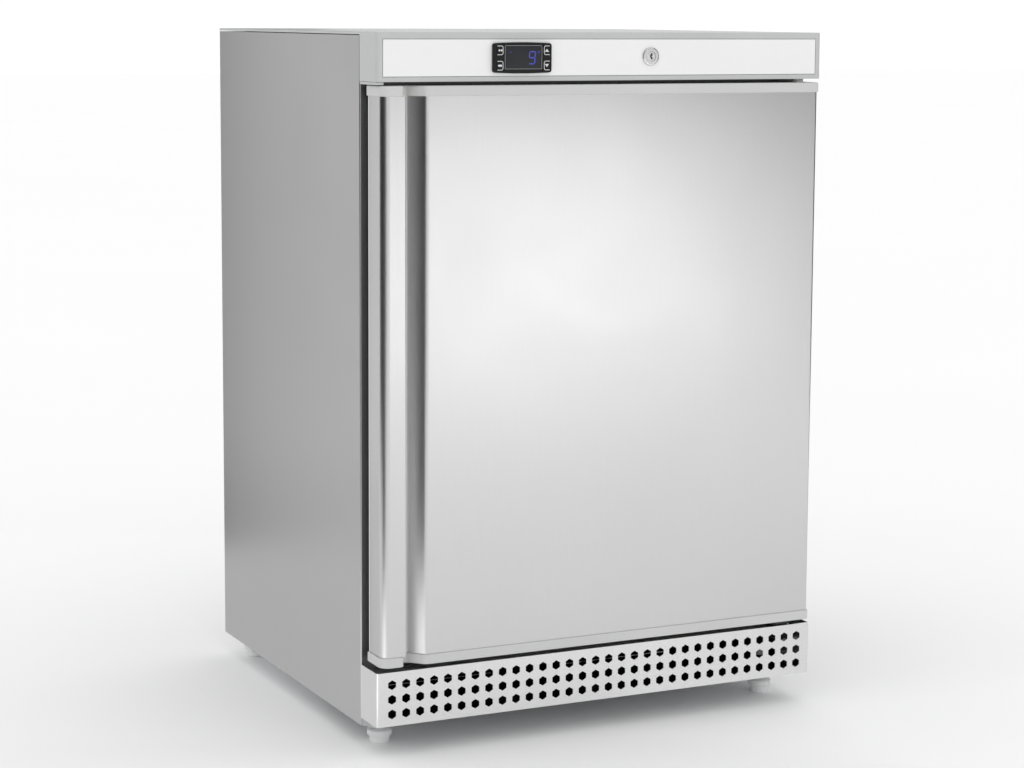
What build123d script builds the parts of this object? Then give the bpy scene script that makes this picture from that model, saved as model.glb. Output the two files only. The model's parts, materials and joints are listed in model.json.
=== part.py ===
from build123d import *
import math
import os

os.makedirs("parts", exist_ok=True)

# Undercounter refrigerator with a solid hinged door.
# Millimetres, +Z up, front towards -Y, origin on the floor below the centre of the bounding box.

# ---- overall sizes ----
WIDTH = 600.0
DEPTH = 600.0
HEIGHT = 855.0
HALF = WIDTH / 2
CAB_FRONT = -245.0            # front plane of the cabinet, behind the door
CAB_BACK = 250.0
FACE = -295.0                 # front plane of the fascia and of the grille
DOOR_FRONT = -300.0           # front plane of the door's end caps
REAR_END = DEPTH / 2          # tips of the rear spacers
SHEET = 1.0                   # sheet steel of the shell
GAP = 0.2                     # fitting gap between neighbouring panels
RUNNING = 0.05                # radial clearance of pins in bushes

# ---- cabinet ----
PANEL_BOTTOM = 28.5
PANEL_TOP = 851.0
PANEL_BEND = 1.5              # outer bend of a side panel
FLANGE = 20.0                 # inward flanges of a side panel
COVER_BOTTOM = 852.0
BOX_BOTTOM = 104.0            # underside of the insulated box
STEP_FRONT = 60.0             # compressor step: front wall and roof
STEP_ROOF = 235.0
FOAM_HALF = HALF - SHEET - 2 * GAP

# ---- liner and opening ----
CAVITY_HALF = 256.0
CAVITY_FLOOR = 150.0
CAVITY_TOP = 768.0
CAVITY_BACK = 203.0
LINER = 2.0
LINER_OUT = CAVITY_HALF + LINER
LINER_RIM = 20.0              # rim round the mouth, behind the front frame
LINER_STEP_FRONT = 10.0
LINER_STEP_TOP = 277.0
RIB_FRONT = -228.0
RIB_BACK = 175.0
RIB_DEPTH = 10.0
RIB_HEIGHT = 4.0
RIB_PITCH = 65.0
RIB_FIRST = 218.0
RIB_COUNT = 8

# ---- base pan and grille ----
PAN_HALF = HALF - SHEET - GAP
PAN_FRONT = -283.0
PAN_REAR = CAB_BACK - SHEET - GAP
PAN_TOP = 38.0                # floor of the machine space
PAN_SHEET = 1.5
PAN_CHEEK = 1.2
PAN_UPSTAND = 76.0
VENT_LENGTH = 160.0
VENT_WIDTH = 8.0
VENT_PITCH = 22.0
VENT_ROWS = 9
VENT_X = (-150.0, 110.0)
VENT_Y = -60.0
GRILLE_TOP = 103.5
GRILLE_SHEET = 1.2
GRILLE_BEND = 3.5
HEX_COLUMNS = 32
HEX_ROWS = 3
HEX_PITCH_X = 18.1
HEX_PITCH_Z = 17.8
HEX_FLATS = 10.2
HEX_CENTRE_Z = 70.4

# ---- feet ----
FOOT_X = 268.5
FOOT_FRONT_Y = -227.0
FOOT_REAR_Y = 215.0
FOOT_BASE = 12.5              # radius of the tapered base
FOOT_COLLAR = 15.0
FOOT_NECK = 9.0
STUD_R = 4.95
STUD_TOP = 56.0
STUD_BORE = 5.05
BOSS_R = 9.0
BOSS_HEIGHT = 11.0

# ---- fasteners ----
SCREW_R = 3.0
SCREW_HOLE = 3.1
SCREW_LENGTH = 25.0
SCREW_X = 290.0
HINGE_SCREWS_Z = (68.0, 86.0, 812.0, 834.0)
HEAD_R = 5.0                  # half the width across a head's flats
HEAD_THICK = 4.0

# ---- door ----
DOOR_BOTTOM = 109.5
DOOR_TOP = 793.5
DOOR_REAR = -257.0            # rear plane of the caps and of the inner panel
SKIN_REAR = -259.0
CAP_HALF = 296.0
CAP_HEIGHT = 12.0
CAP_TONGUE = 9.0              # how far the skin stands in a cap's groove
CAP_PROUD = 2.0               # caps stand this far outside the skin
CAP_EDGE = 1.6                # rounding of a cap's free rim
CAP_LEDGE = 0.7               # rounding of its rim beside the skin
SKIN_BOTTOM = DOOR_BOTTOM + CAP_HEIGHT - CAP_TONGUE
SKIN_TOP = DOOR_TOP - CAP_HEIGHT + CAP_TONGUE
RIB_EDGE = -267.0             # right side of the grip rib on the caps
SKIN_RIB_EDGE = -263.5        # and on the skin, which overhangs the caps there
GROOVE_FLOOR = -282.0
GROOVE_SLOPE = -538.83        # x + y on the 45 degree far side of the groove
DYKE_HALF = 246.0             # raised frame on the inner panel
DYKE_WIDTH = 20.0
DYKE_DEPTH = 18.0
DYKE_Z0 = 160.0
DYKE_Z1 = 758.0
GASKET_HALF = 277.0
GASKET_WIDTH = 18.0
GASKET_Z0 = 129.0
GASKET_Z1 = 779.0
GASKET_REAR = CAB_FRONT - 0.3

# ---- hinges ----
HINGE_X = 277.0
HINGE_Y = -277.0
PIN_R = 4.0
UPPER_PIN = 19.0
LOWER_PIN = 16.0
BUSH_R = 6.0
BUSH_FLANGE = 7.5             # radius of the flange a bush stands on
BUSH_GAP = 0.4
LEAF_LEFT = 250.0
LEAF_RIGHT = 296.0
LEAF_FRONT = -291.0
LEAF_THICK = 3.0
UPPER_LEAF_Z = 798.1
LOWER_LEAF_Z = 104.6
STRIP_Z = 794.6               # blanking strip over the unused hinge side
STRIP_END = -289.0

# ---- fascia and lock ----
FASCIA_BOTTOM = 798.0
FASCIA_WALL = 2.5
FASCIA_BEND = 5.0
TOP_BEND = 1.2
LABEL_HALF = 292.0            # recess for the label in the fascia's face
LABEL_BOTTOM = 803.4
LABEL_TOP = 847.5
LABEL_THICK = 1.6
LABEL_GAP = 0.8               # shadow gap round the label
LOCK_X = 57.5
LOCK_Z = 826.3
LOCK_FLANGE = 11.0            # radius of the barrel's visible rim
LOCK_HOLE = 9.6
PLUG_R = 6.0
KEYWAY = 1.9                  # width of the keyway
KEYWAY_STEP = 0.6             # sideways step of its wards
CAM_LENGTH = 38.0
CAM_FRONT = -268.5
CAM_BACK = -266.0

# ---- controller ----
CTRL_X = -115.6
CTRL_Z = 825.2
CTRL_HALF_X = 35.5            # cut-out in the fascia
CTRL_HALF_Z = 14.5
BEZEL_W = 76.0
BEZEL_H = 36.4
BEZEL_BULGE = 1.2             # curve of the bezel's long edges
BEZEL_FRONT = -299.5
BEZEL_PLATE = 2.0
WINDOW = (-138.2, -91.3, 812.8, 839.0)
KEY_W = 8.6
KEY_H = 12.0
KEY_DEPTH = 3.4
KEY_SLIT = 0.25
KEY_LEFT_X = -145.0
KEY_RIGHT_X = -84.4
KEY_UP_Z = 834.0
KEY_DOWN_Z = 816.2
KEY_FRONT = -299.9
KEYS = {
    "key_set": (KEY_LEFT_X, KEY_DOWN_Z),
    "key_light": (KEY_LEFT_X, KEY_UP_Z),
    "key_up": (KEY_RIGHT_X, KEY_UP_Z),
    "key_down": (KEY_RIGHT_X, KEY_DOWN_Z),
}

# ---- shelves ----
SHELF_WIRE = 2.5
BAR_WIRE = 1.6
SHELF_HALF_X = 251.0
SHELF_FRONT = -222.0
SHELF_BACK = 165.0
SHELF_LEVELS = {"shelf_lower": 1, "shelf_middle": 3, "shelf_upper": 5}
SHELF_BARS = 22

# ---- evaporator and its pipes ----
EVAP_HALF = 200.0
EVAP_Z0 = 300.0
EVAP_Z1 = 612.0
EVAP_BACK = 198.0
EVAP_SHEET = 1.5
CHANNEL_ROWS = 9
CHANNEL_WIDTH = 9.0
RISER_Y = 232.0               # pipes climb inside the rear foam
SUCTION_X = -70.0
SUCTION_R = 4.0
SUCTION_HOLE = 4.3
SUCTION_Z = 112.0
SUCTION_TOP = 450.0
CAPILLARY_X = 180.0
CAPILLARY_R = 1.25
CAPILLARY_HOLE = 1.6
CAPILLARY_LOW = 96.0
CAPILLARY_TOP = 430.0

# ---- circulation fan ----
FAN_Z = 702.0
FAN_HALF = 60.0
FAN_BORE = 56.0
FAN_FRONT = 142.4
FAN_DEPTH = 25.0
FAN_REAR = FAN_FRONT + FAN_DEPTH
FAN_SCREW = 52.0
CUP_R = 18.0
HUB_R = 17.5
SHAFT_R = 2.5
BLADE_TIP = 54.5
BLADES = 7
BLADE_MID = FAN_FRONT + 12.0
SHROUD_HALF = 82.0
SHROUD_FRONT = 140.0
SHROUD_WALL = 2.0
SHROUD_Z0 = 622.0
SHROUD_Z1 = CAVITY_TOP - 0.5
GUARD_RINGS = (16.0, 29.0, 42.0)

# ---- drain ----
DRAIN_Y = 185.0
DRAIN_R = 6.0
DRAIN_HOLE = 6.2
DRAIN_END = 216.0
TRAY_Z = 202.0
TRAY_WALL = 1.8

# ---- compressor ----
COMP_X = 70.0
COMP_Y = 155.0
SHELL_Z0 = 56.0
SHELL_Z1 = 198.0
SHELL_X = 85.0
SHELL_Y = 66.0
SEAM_Z = 124.0
PLATE_Z0 = 52.0
PLATE_Z1 = 57.0
BOLT_DX = 85.0                # hold-down bolts from the compressor's centre
BOLT_DY = 50.0
GROMMET_TOP = 58.5
STUB_X = COMP_X - SHELL_X - 18
DISCHARGE_Y = COMP_Y - 35
DISCHARGE_Z = 146.0

# ---- condenser ----
COIL_Y = 270.0
COIL_R = 2.5
COIL_HALF = 225.0
COIL_TOP = 770.0
COIL_PITCH = 40.0
COIL_PASSES = 13
COIL_BOTTOM = COIL_TOP - COIL_PITCH * (COIL_PASSES - 1)
WIRE_R = 0.8
WIRE_PITCH = 20.0
WIRE_COUNT = 22
DRIER_X = 262.0
DRIER_R = 9.5
DRIER_BOTTOM = 118.0
DRIER_TOP = 232.0
SPACER_X = 200.0

# ---- mains gland ----
GLAND_X = -230.0
GLAND_Z = 56.0
GLAND_BODY = 8.0
GLAND_NUT = 11.0
GLAND_BORE = 3.8


def save(piece, label):
    """Name a finished piece and write it."""
    piece.part.label = label
    export_step(piece.part, f"parts/{label}.step")


def block(x0, x1, y0, y1, z0, z1, mode=Mode.ADD):
    """A box between two corners, for use inside a BuildPart block."""
    with Locations(((x0 + x1) / 2, (y0 + y1) / 2, (z0 + z1) / 2)):
        Box(x1 - x0, y1 - y0, z1 - z0, mode=mode)


def rod(radius, x, y, z0, z1, mode=Mode.ADD):
    """An upright cylinder between two heights."""
    with Locations((x, y, (z0 + z1) / 2)):
        Cylinder(radius, z1 - z0, mode=mode)


def bar_y(radius, x, z, y0, y1, mode=Mode.ADD):
    """A cylinder that runs from front to back."""
    with Locations(Location((x, (y0 + y1) / 2, z), (90, 0, 0))):
        Cylinder(radius, y1 - y0, mode=mode)


def pipe(radius, bend, *points):
    """A bent tube, drawn as a solid rod, through the given corners."""
    with BuildPart() as run:
        with BuildLine() as route:
            FilletPolyline(*points, radius=bend)
        start = Vector(*points[0])
        towards = Vector(*points[1]) - start
        with BuildSketch(Plane(origin=start, z_dir=towards)):
            Circle(radius)
        sweep(path=route.wires()[0])
    return run


# ======================= cabinet shell =======================

def side_panel(side):
    """Side sheet with an inward flange at the front and at the back."""
    inner = HALF - FLANGE
    with BuildPart() as panel:
        with BuildSketch(Plane.XY.offset(PANEL_BOTTOM)):
            with BuildLine():
                Polyline(
                    (side * inner, CAB_FRONT),
                    (side * HALF, CAB_FRONT),
                    (side * HALF, CAB_BACK),
                    (side * inner, CAB_BACK),
                    (side * inner, CAB_BACK - SHEET),
                    (side * (HALF - SHEET), CAB_BACK - SHEET),
                    (side * (HALF - SHEET), CAB_FRONT + SHEET),
                    (side * inner, CAB_FRONT + SHEET),
                    close=True,
                )
            make_face()
        extrude(amount=PANEL_TOP - PANEL_BOTTOM)
        outer_bends = panel.edges().filter_by(Axis.Z).filter_by_position(
            Axis.X, side * HALF - 0.01, side * HALF + 0.01)
        fillet(outer_bends, radius=PANEL_BEND)
        for z in HINGE_SCREWS_Z:
            bar_y(SCREW_HOLE, side * SCREW_X, z, CAB_FRONT - 1, CAB_FRONT + 2, Mode.SUBTRACT)
        flange_x = side * (HALF - SHEET - FLANGE / 2)
        block(flange_x - FLANGE / 2, flange_x + FLANGE / 2, CAB_FRONT - 1, CAB_FRONT + SHEET + GAP,
              PANEL_BOTTOM - 1, PAN_TOP + GAP, Mode.SUBTRACT)
    return panel


panel_left = side_panel(-1)
save(panel_left, "side_panel_left")
panel_right = side_panel(1)
save(panel_right, "side_panel_right")

with BuildPart() as back_panel:
    block(-HALF + SHEET + GAP, HALF - SHEET - GAP, CAB_BACK - 2 * SHEET, CAB_BACK - SHEET,
          STEP_ROOF + SHEET, PANEL_TOP)
save(back_panel, "back_panel")

# Folded sheet under the insulated box: floor, front wall and roof of the compressor step.
with BuildPart() as underbody:
    with BuildSketch(Plane.YZ.offset(-HALF + SHEET + GAP)):
        with BuildLine():
            Polyline(
                (CAB_FRONT + SHEET, BOX_BOTTOM),
                (STEP_FRONT + SHEET, BOX_BOTTOM),
                (STEP_FRONT + SHEET, STEP_ROOF),
                (CAB_BACK - SHEET, STEP_ROOF),
                (CAB_BACK - SHEET, STEP_ROOF + SHEET),
                (STEP_FRONT, STEP_ROOF + SHEET),
                (STEP_FRONT, BOX_BOTTOM + SHEET),
                (CAB_FRONT + SHEET, BOX_BOTTOM + SHEET),
                close=True,
            )
        make_face()
    extrude(amount=2 * (HALF - SHEET - GAP))
    rod(SUCTION_HOLE, SUCTION_X, RISER_Y, STEP_ROOF - 1, STEP_ROOF + 2, Mode.SUBTRACT)
    rod(CAPILLARY_HOLE, CAPILLARY_X, RISER_Y, STEP_ROOF - 1, STEP_ROOF + 2, Mode.SUBTRACT)
    rod(DRAIN_HOLE, 0, DRAIN_Y, STEP_ROOF - 1, STEP_ROOF + 2, Mode.SUBTRACT)
save(underbody, "underbody_sheet")

# Inner liner: vacuum-formed box with shelf ribs on both sides and a front rim.
with BuildPart() as liner:
    block(-LINER_OUT, LINER_OUT, CAB_FRONT + SHEET, CAVITY_BACK + LINER,
          CAVITY_FLOOR - LINER, CAVITY_TOP + LINER)
    block(-HALF + FLANGE + 2, HALF - FLANGE - 2, CAB_FRONT + SHEET, CAB_FRONT + SHEET + LINER,
          CAVITY_FLOOR - LINER_RIM, CAVITY_TOP + LINER_RIM)
    block(-CAVITY_HALF, CAVITY_HALF, CAB_FRONT, CAVITY_BACK, CAVITY_FLOOR, CAVITY_TOP, Mode.SUBTRACT)
    block(-CAVITY_HALF, CAVITY_HALF, LINER_STEP_FRONT, CAVITY_BACK + LINER,
          CAVITY_FLOOR - LINER, LINER_STEP_TOP)
    block(-LINER_OUT, LINER_OUT, LINER_STEP_FRONT + LINER, CAVITY_BACK + LINER,
          CAVITY_FLOOR - LINER, LINER_STEP_TOP - LINER, Mode.SUBTRACT)
    for level in range(RIB_COUNT):
        z = RIB_FIRST + level * RIB_PITCH
        rib_back = RIB_BACK if z > LINER_STEP_TOP else LINER_STEP_FRONT
        for side in (-1, 1):
            x_in = side * (CAVITY_HALF - RIB_DEPTH)
            x_out = side * CAVITY_HALF
            block(min(x_in, x_out), max(x_in, x_out), RIB_FRONT, rib_back, z, z + RIB_HEIGHT)
    rod(DRAIN_HOLE, 0, DRAIN_Y, LINER_STEP_TOP - 5, LINER_STEP_TOP + 1, Mode.SUBTRACT)
    bar_y(SUCTION_HOLE, SUCTION_X, SUCTION_TOP, CAVITY_BACK - 1, CAVITY_BACK + 3, Mode.SUBTRACT)
    bar_y(CAPILLARY_HOLE, CAPILLARY_X, CAPILLARY_TOP, CAVITY_BACK - 1, CAVITY_BACK + 3, Mode.SUBTRACT)
save(liner, "inner_liner")

# Foam between the shell and the liner.
with BuildPart() as foam:
    block(-FOAM_HALF, FOAM_HALF, CAB_FRONT + SHEET + LINER, CAB_BACK - 2 * SHEET,
          BOX_BOTTOM + SHEET, PANEL_TOP)
    block(-FOAM_HALF, FOAM_HALF, STEP_FRONT, CAB_BACK, BOX_BOTTOM, STEP_ROOF + SHEET, Mode.SUBTRACT)
    block(-LINER_OUT, LINER_OUT, CAB_FRONT, LINER_STEP_FRONT + LINER,
          CAVITY_FLOOR - LINER, CAVITY_TOP + LINER, Mode.SUBTRACT)
    block(-LINER_OUT, LINER_OUT, LINER_STEP_FRONT, CAVITY_BACK + LINER,
          LINER_STEP_TOP - LINER, CAVITY_TOP + LINER, Mode.SUBTRACT)
    rod(DRAIN_HOLE, 0, DRAIN_Y, STEP_ROOF, LINER_STEP_TOP, Mode.SUBTRACT)
    for x, top, half in ((SUCTION_X, SUCTION_TOP + 20, 5.0), (CAPILLARY_X, CAPILLARY_TOP + 10, 3.0)):
        rod(half, x, RISER_Y, STEP_ROOF, top, Mode.SUBTRACT)
        block(x - half, x + half, CAVITY_BACK, RISER_Y, top - 40, top, Mode.SUBTRACT)
    for side in (-1, 1):
        for z in HINGE_SCREWS_Z[2:]:
            bar_y(4.0, side * SCREW_X, z, CAB_FRONT, CAB_FRONT + 30, Mode.SUBTRACT)
save(foam, "insulation_foam")

# Steel frame round the opening, on which the magnetic gasket closes.
with BuildPart() as front_frame:
    block(-HALF + FLANGE + GAP, HALF - FLANGE - GAP, CAB_FRONT, CAB_FRONT + SHEET, BOX_BOTTOM, PANEL_TOP)
    block(-CAVITY_HALF, CAVITY_HALF, CAB_FRONT - 1, CAB_FRONT + 2, CAVITY_FLOOR, CAVITY_TOP, Mode.SUBTRACT)
save(front_frame, "front_frame")

with BuildPart() as top_cover:
    block(-HALF, HALF, CAB_FRONT, CAB_BACK, COVER_BOTTOM, HEIGHT)
    rim = top_cover.faces().sort_by(Axis.Z)[-1].edges()
    fillet(rim.filter_by_position(Axis.Y, CAB_FRONT + 1, CAB_BACK + 1), radius=TOP_BEND)
save(top_cover, "top_cover")

# Base pan: floor of the machine space, with side cheeks that taper forward and bosses for the feet.
with BuildPart() as base_pan:
    block(-PAN_HALF, PAN_HALF, PAN_FRONT, PAN_REAR, PAN_TOP - PAN_SHEET, PAN_TOP)
    for side in (-1, 1):
        x_plane = side * PAN_HALF - (PAN_CHEEK if side > 0 else 0)
        with BuildSketch(Plane.YZ.offset(x_plane)):
            with BuildLine():
                Polyline((CAB_BACK - 2, PANEL_BOTTOM), (CAB_BACK - 2, PAN_TOP), (PAN_FRONT, PAN_TOP),
                         (PAN_FRONT, PAN_TOP - 3), (CAB_FRONT, PANEL_BOTTOM), close=True)
            make_face()
        extrude(amount=PAN_CHEEK)
    block(-PAN_HALF, PAN_HALF, PAN_REAR - PAN_CHEEK, PAN_REAR, PAN_TOP - PAN_SHEET, PAN_UPSTAND)
    for x in (-FOOT_X, FOOT_X):
        for y in (FOOT_FRONT_Y, FOOT_REAR_Y):
            rod(BOSS_R, x, y, PAN_TOP - 1, PAN_TOP + BOSS_HEIGHT)
            rod(STUD_BORE, x, y, PAN_TOP - 2, PAN_TOP + BOSS_HEIGHT + 1, Mode.SUBTRACT)
    with Locations((COMP_X, COMP_Y, PAN_TOP)):
        with GridLocations(2 * BOLT_DX, 2 * BOLT_DY, 2, 2):
            Cylinder(SCREW_HOLE, 10, mode=Mode.SUBTRACT)
    with BuildSketch(Plane.XY.offset(PAN_TOP - 3)):
        with Locations(*[(x, VENT_Y) for x in VENT_X]):
            with GridLocations(0, VENT_PITCH, 1, VENT_ROWS):
                SlotOverall(VENT_LENGTH, VENT_WIDTH)
    extrude(amount=6, mode=Mode.SUBTRACT)
    bar_y(GLAND_BODY + 0.1, GLAND_X, GLAND_Z, PAN_REAR - 10, PAN_REAR + 10, Mode.SUBTRACT)
save(base_pan, "base_pan")

# Front grille: bent sheet with hexagonal holes, side returns and a folded top edge.
with BuildPart() as grille:
    block(-HALF, HALF, FACE, CAB_FRONT - 1, PAN_TOP, GRILLE_TOP)
    bends = grille.edges().filter_by(Axis.Z).filter_by_position(Axis.Y, FACE - 0.1, FACE + 0.1)
    fillet(bends, radius=GRILLE_BEND)
    with BuildSketch(Plane.XY.offset(PAN_TOP - 1)):
        with Locations((0, (FACE + GRILLE_SHEET + CAB_FRONT) / 2)):
            Rectangle(WIDTH - 2 * GRILLE_SHEET, CAB_FRONT - FACE - GRILLE_SHEET)
        fillet(vertices().sort_by(Axis.Y)[:2], radius=GRILLE_BEND - GRILLE_SHEET)
    extrude(amount=80, mode=Mode.SUBTRACT)
    block(-HALF + 2.2, HALF - 52, FACE + 1, -264, GRILLE_TOP - 2.0, GRILLE_TOP - 0.8)
    with BuildSketch(Plane.XZ.offset(-FACE + 1)):
        with Locations((0, HEX_CENTRE_Z)):
            with GridLocations(HEX_PITCH_X, HEX_PITCH_Z, HEX_COLUMNS, HEX_ROWS):
                RegularPolygon(HEX_FLATS / 2, 6, major_radius=False, rotation=30)
    extrude(amount=-6, mode=Mode.SUBTRACT)
save(grille, "grille_panel")

# ======================= fascia, controller and lock =======================

with BuildPart() as fascia:
    block(-HALF, HALF, FACE, CAB_FRONT - GAP, FASCIA_BOTTOM, HEIGHT)
    bends = fascia.edges().filter_by(Axis.Z).filter_by_position(Axis.Y, FACE - 0.1, FACE + 0.1)
    fillet(bends, radius=FASCIA_BEND)
    fillet(fascia.faces().sort_by(Axis.Z)[-1].edges().filter_by_position(Axis.Y, FACE - 1, CAB_FRONT - 1),
           radius=TOP_BEND)
    block(-HALF + FASCIA_WALL, HALF - FASCIA_WALL, FACE + FASCIA_WALL, CAB_FRONT,
          FASCIA_BOTTOM + FASCIA_WALL, HEIGHT - FASCIA_WALL, Mode.SUBTRACT)
    block(-LABEL_HALF, LABEL_HALF, FACE - 1, FACE + LABEL_THICK, LABEL_BOTTOM, LABEL_TOP, Mode.SUBTRACT)
    block(CTRL_X - CTRL_HALF_X, CTRL_X + CTRL_HALF_X, FACE - 1, FACE + 5,
          CTRL_Z - CTRL_HALF_Z, CTRL_Z + CTRL_HALF_Z, Mode.SUBTRACT)
    bar_y(LOCK_HOLE, LOCK_X, LOCK_Z, FACE - 1, FACE + 5, Mode.SUBTRACT)
    block(LOCK_X - 8, LOCK_X + 32, -270.5, -263, FASCIA_BOTTOM - 1, FASCIA_BOTTOM + 3, Mode.SUBTRACT)
    block(LEAF_LEFT - 1, HALF - FASCIA_WALL, LEAF_FRONT - 1, CAB_FRONT, FASCIA_BOTTOM - 1, FASCIA_BOTTOM + 4,
          Mode.SUBTRACT)
save(fascia, "fascia_housing")

with BuildPart() as label:
    block(-LABEL_HALF + LABEL_GAP, LABEL_HALF - LABEL_GAP, FACE, FACE + LABEL_THICK,
          LABEL_BOTTOM + LABEL_GAP, LABEL_TOP - LABEL_GAP)
    block(CTRL_X - CTRL_HALF_X, CTRL_X + CTRL_HALF_X, FACE - 1, FACE + 5,
          CTRL_Z - CTRL_HALF_Z, CTRL_Z + CTRL_HALF_Z, Mode.SUBTRACT)
    bar_y(LOCK_HOLE, LOCK_X, LOCK_Z, FACE - 1, FACE + 5, Mode.SUBTRACT)
save(label, "fascia_label")

# Controller: bezel with a window and four keys, on a housing that passes through the fascia.
with BuildPart() as bezel:
    with BuildSketch(Plane.XZ.offset(-FACE)):
        with BuildLine():
            half_w = BEZEL_W / 2
            half_h = BEZEL_H / 2
            left, right = CTRL_X - half_w, CTRL_X + half_w
            low, high = CTRL_Z - half_h + BEZEL_BULGE, CTRL_Z + half_h - BEZEL_BULGE
            Line((left, low), (left, high))
            ThreePointArc((left, high), (CTRL_X, high + BEZEL_BULGE), (right, high))
            Line((right, high), (right, low))
            ThreePointArc((right, low), (CTRL_X, low - BEZEL_BULGE), (left, low))
        make_face()
        fillet(vertices(), radius=3)
    extrude(amount=FACE - BEZEL_FRONT)
    fillet(bezel.faces().sort_by(Axis.Y)[0].edges(), radius=1.0)
    block(left + 1.6, right - 1.6, BEZEL_FRONT + BEZEL_PLATE, FACE + 1, low + 1, high - 1, Mode.SUBTRACT)
    block(WINDOW[0], WINDOW[1], BEZEL_FRONT - 1, FACE + 1, WINDOW[2], WINDOW[3], Mode.SUBTRACT)
    for x, z in KEYS.values():
        block(x - KEY_W / 2 - KEY_SLIT, x + KEY_W / 2 + KEY_SLIT, BEZEL_FRONT - 1, FACE + 1,
              z - KEY_H / 2 - KEY_SLIT, z + KEY_H / 2 + KEY_SLIT, Mode.SUBTRACT)
save(bezel, "controller_bezel")

with BuildPart() as window:
    block(WINDOW[0] + 0.1, WINDOW[1] - 0.1, BEZEL_FRONT + 0.4, FACE - 1.0, WINDOW[2] + 0.1, WINDOW[3] - 0.1)
save(window, "display_window")

with BuildPart() as controller:
    block(CTRL_X - CTRL_HALF_X + GAP, CTRL_X + CTRL_HALF_X - GAP, FACE, CAB_FRONT - 1,
          CTRL_Z - CTRL_HALF_Z + GAP, CTRL_Z + CTRL_HALF_Z - GAP)
    fillet(controller.edges().filter_by(Axis.Y), radius=1.5)
save(controller, "controller_body")

for name, (x, z) in KEYS.items():
    with BuildPart() as key:
        block(x - KEY_W / 2, x + KEY_W / 2, KEY_FRONT, KEY_FRONT + KEY_DEPTH, z - KEY_H / 2, z + KEY_H / 2)
        fillet(key.faces().sort_by(Axis.Y)[0].edges(), radius=0.5)
    save(key, name)

# Lock: barrel through the fascia, plug that turns in it, cam on the plug's inner end.
with BuildPart() as barrel:
    bar_y(LOCK_FLANGE, LOCK_X, LOCK_Z, FACE - 2.2, FACE)
    fillet(barrel.faces().sort_by(Axis.Y)[0].edges(), radius=1.4)
    bar_y(LOCK_HOLE - 0.1, LOCK_X, LOCK_Z, FACE, -271)
    bar_y(PLUG_R + RUNNING, LOCK_X, LOCK_Z, FACE - 5, -270, Mode.SUBTRACT)
save(barrel, "lock_barrel")

with BuildPart() as plug:
    bar_y(PLUG_R, LOCK_X, LOCK_Z, FACE - 2.0, -269.5)
    fillet(plug.faces().sort_by(Axis.Y)[0].edges(), radius=0.5)
    bar_y(4.0, LOCK_X, LOCK_Z, -269.5, CAM_BACK + 2)
    with BuildSketch(Plane.XZ.offset(-FACE + 3)):
        with Locations((LOCK_X, LOCK_Z)):
            with Locations((KEYWAY_STEP, 2.4), (KEYWAY_STEP, -2.0)):
                Rectangle(KEYWAY, 3.0)
            with Locations((-KEYWAY_STEP, 0.4)):
                Rectangle(KEYWAY, 3.6)
    extrude(amount=-7, mode=Mode.SUBTRACT)
save(plug, "lock_plug")

with BuildPart() as cam:
    with BuildSketch(Plane.XZ.offset(-CAM_BACK)):
        with Locations((LOCK_X, LOCK_Z)):
            Circle(7.5)
        with Locations((LOCK_X + CAM_LENGTH / 2, LOCK_Z)):
            Rectangle(CAM_LENGTH, 10)
        with Locations((LOCK_X, LOCK_Z)):
            Circle(4.0, mode=Mode.SUBTRACT)
    extrude(amount=CAM_BACK - CAM_FRONT)
save(cam, "lock_cam")

# ======================= hinges =======================

def hinge_bracket(leaf_z, wall_low, wall_high, screw_heights):
    """Angle bracket: a leaf that carries the pin, and a wall screwed to the cabinet's front."""
    with BuildPart() as bracket:
        with BuildSketch(Plane.XY.offset(leaf_z)):
            with BuildLine():
                Polyline((LEAF_LEFT, CAB_FRONT - GAP), (LEAF_LEFT, LEAF_FRONT), (271, LEAF_FRONT),
                         (LEAF_RIGHT, -268), (LEAF_RIGHT, CAB_FRONT - GAP), close=True)
            make_face()
            fillet(vertices().sort_by(Axis.Y)[:2], radius=1.5)
        extrude(amount=LEAF_THICK)
        block(HALF - FLANGE, LEAF_RIGHT + 1, CAB_FRONT - LEAF_THICK, CAB_FRONT, wall_low, wall_high)
        rod(PIN_R, HINGE_X, HINGE_Y, leaf_z - 1, leaf_z + LEAF_THICK + 1, Mode.SUBTRACT)
        for z in screw_heights:
            bar_y(SCREW_HOLE, SCREW_X, z, CAB_FRONT - 5, CAB_FRONT + 1, Mode.SUBTRACT)
    return bracket


upper_bracket = hinge_bracket(UPPER_LEAF_Z, UPPER_LEAF_Z, 844.0, HINGE_SCREWS_Z[2:])
save(upper_bracket, "upper_hinge_bracket")
lower_bracket = hinge_bracket(LOWER_LEAF_Z, 56.0, LOWER_LEAF_Z + LEAF_THICK, HINGE_SCREWS_Z[:2])
save(lower_bracket, "lower_hinge_bracket")

with BuildPart() as hinge_pins:
    rod(PIN_R, HINGE_X, HINGE_Y, LOWER_LEAF_Z, LOWER_LEAF_Z + LOWER_PIN)
    rod(PIN_R, HINGE_X, HINGE_Y, UPPER_LEAF_Z + LEAF_THICK - UPPER_PIN, UPPER_LEAF_Z + LEAF_THICK)
save(hinge_pins, "hinge_pins")

with BuildPart() as blank_strip:
    block(-HALF + 0.4, STRIP_END, -293, CAB_FRONT - GAP, STRIP_Z, STRIP_Z + LEAF_THICK)
    fillet(blank_strip.edges().filter_by(Axis.Z).sort_by(Axis.Y)[:2], radius=2)
save(blank_strip, "hinge_blank_strip")

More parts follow.
